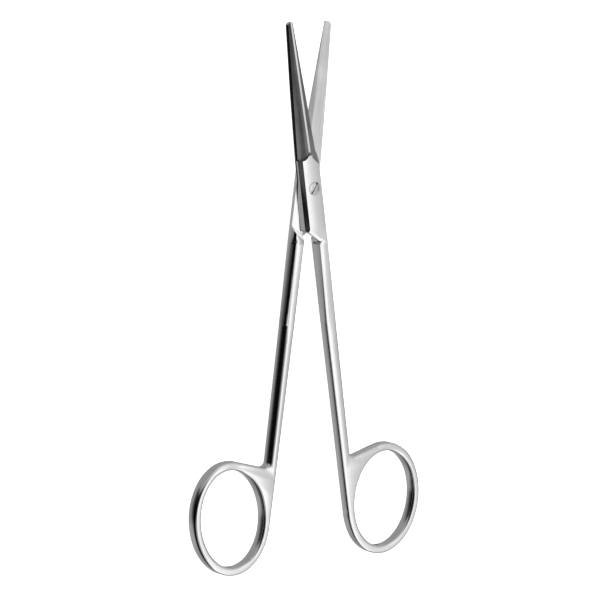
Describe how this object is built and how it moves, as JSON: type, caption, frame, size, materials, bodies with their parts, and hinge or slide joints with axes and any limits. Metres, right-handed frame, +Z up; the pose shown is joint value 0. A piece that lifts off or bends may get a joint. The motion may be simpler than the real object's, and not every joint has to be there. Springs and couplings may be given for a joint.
{
  "type": "surgical scissors",
  "caption": "Straight blunt-tipped surgical scissors with one serrated edge, a flush slotted pivot screw and oval finger rings, lying slightly open.",
  "frame": {"origin": "centre of the footprint, on the surface the scissors lie on", "axes": "+Y towards the blade tips, +Z up from the surface, +X towards the upper half's finger ring"},
  "size_m": [0.0736, 0.1418, 0.0057],
  "materials": {
    "forged_steel": "satin, polished on the rings and box",
    "screw_steel": "satin"
  },
  "bodies": {
    "lower": {"lower_half": "forged_steel", "pivot_screw": "screw_steel"},
    "upper": {"upper_half": "forged_steel"}
  },
  "joints": [
    {"name": "pivot_hinge", "type": "hinge", "parent": "lower", "child": "upper", "pos_m": [0, 0.02802, 0.00286], "axis": [0, 0, 1], "range_deg": [-16, 74]}
  ]
}
